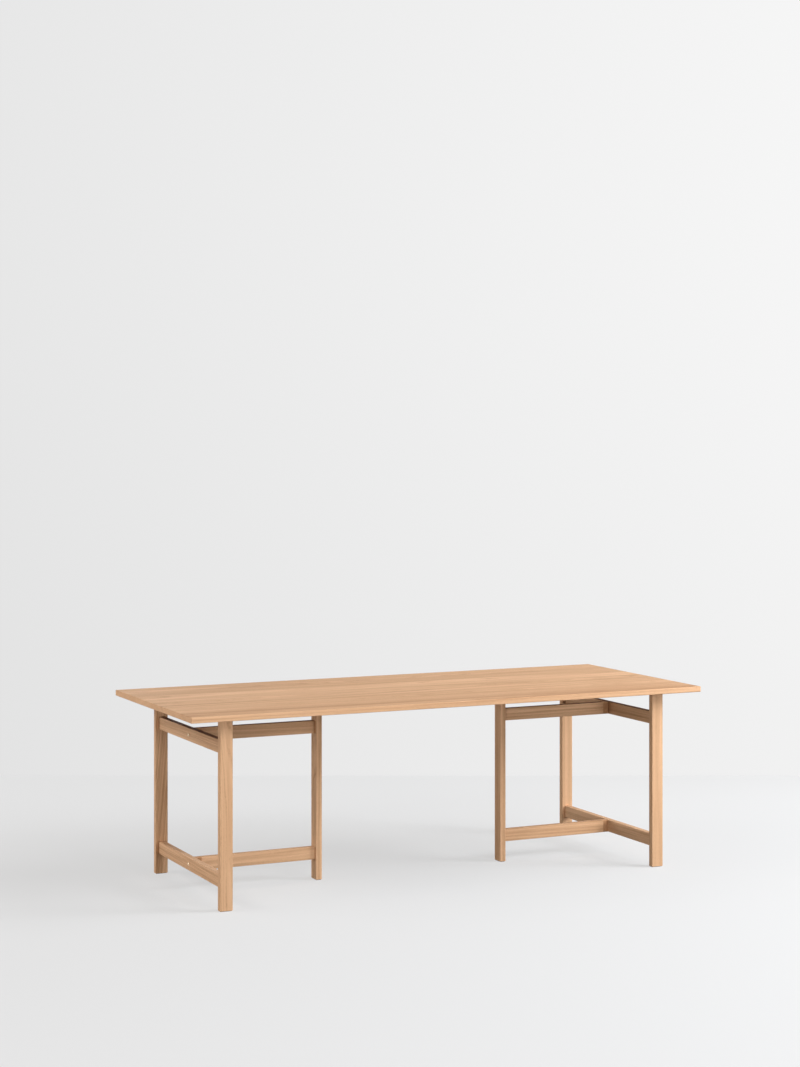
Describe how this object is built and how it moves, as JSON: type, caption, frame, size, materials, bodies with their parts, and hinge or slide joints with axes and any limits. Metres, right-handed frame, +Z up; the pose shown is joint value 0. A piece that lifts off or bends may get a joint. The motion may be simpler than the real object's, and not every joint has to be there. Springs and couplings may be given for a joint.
{
  "type": "trestle dining table",
  "caption": "Long rectangular oak dining table: an edge-glued board top lying on T-plan trestles of mortised legs and rails, bolted together at the tees.",
  "frame": {"origin": "on the floor under the middle of the tabletop", "axes": "+X along the tabletop, +Y to the back long edge, +Z up"},
  "size_m": [2.18, 0.9, 0.73],
  "materials": {
    "top_oak": "matt oiled oak boards",
    "frame_oak": "matt oiled oak",
    "block_oak": "matt oiled oak, grain upright",
    "pin_wood": "plain turned hardwood",
    "brass": "bright satin",
    "insert_brass": "machined",
    "felt": "dense felt"
  },
  "bodies": {
    "left_trestle": {"left_front_leg": "frame_oak", "left_back_leg": "frame_oak", "left_inner_leg": "frame_oak", "left_upper_cross_rail": "frame_oak", "left_lower_cross_rail": "frame_oak", "left_upper_long_rail": "frame_oak", "left_lower_long_rail": "frame_oak", "left_upper_tee_block": "block_oak", "left_lower_tee_block": "block_oak", "left_tee_bolts": "brass", "left_tee_inserts": "insert_brass", "left_top_pins": "pin_wood", "left_foot_pads": "felt"},
    "tabletop": {"top_board_1": "top_oak", "top_board_2": "top_oak", "top_board_3": "top_oak", "top_board_4": "top_oak", "top_board_5": "top_oak", "top_board_6": "top_oak", "top_board_7": "top_oak"},
    "right_trestle": {"right_front_leg": "frame_oak", "right_back_leg": "frame_oak", "right_inner_leg": "frame_oak", "right_upper_cross_rail": "frame_oak", "right_lower_cross_rail": "frame_oak", "right_upper_long_rail": "frame_oak", "right_lower_long_rail": "frame_oak", "right_upper_tee_block": "block_oak", "right_lower_tee_block": "block_oak", "right_tee_bolts": "brass", "right_tee_inserts": "insert_brass", "right_top_pins": "pin_wood", "right_foot_pads": "felt"}
  },
  "joints": [
    {"name": "tabletop_lift", "type": "slide", "parent": "left_trestle", "child": "tabletop", "axis": [0, 0, 1], "range_m": [0, 0.1]},
    {"name": "right_trestle_release", "type": "slide", "parent": "tabletop", "child": "right_trestle", "axis": [0, 0, -1], "range_m": [0, 0.1]}
  ],
  "couplings": [
    {"joint": "right_trestle_release", "follows": "tabletop_lift", "ratio": 1}
  ]
}
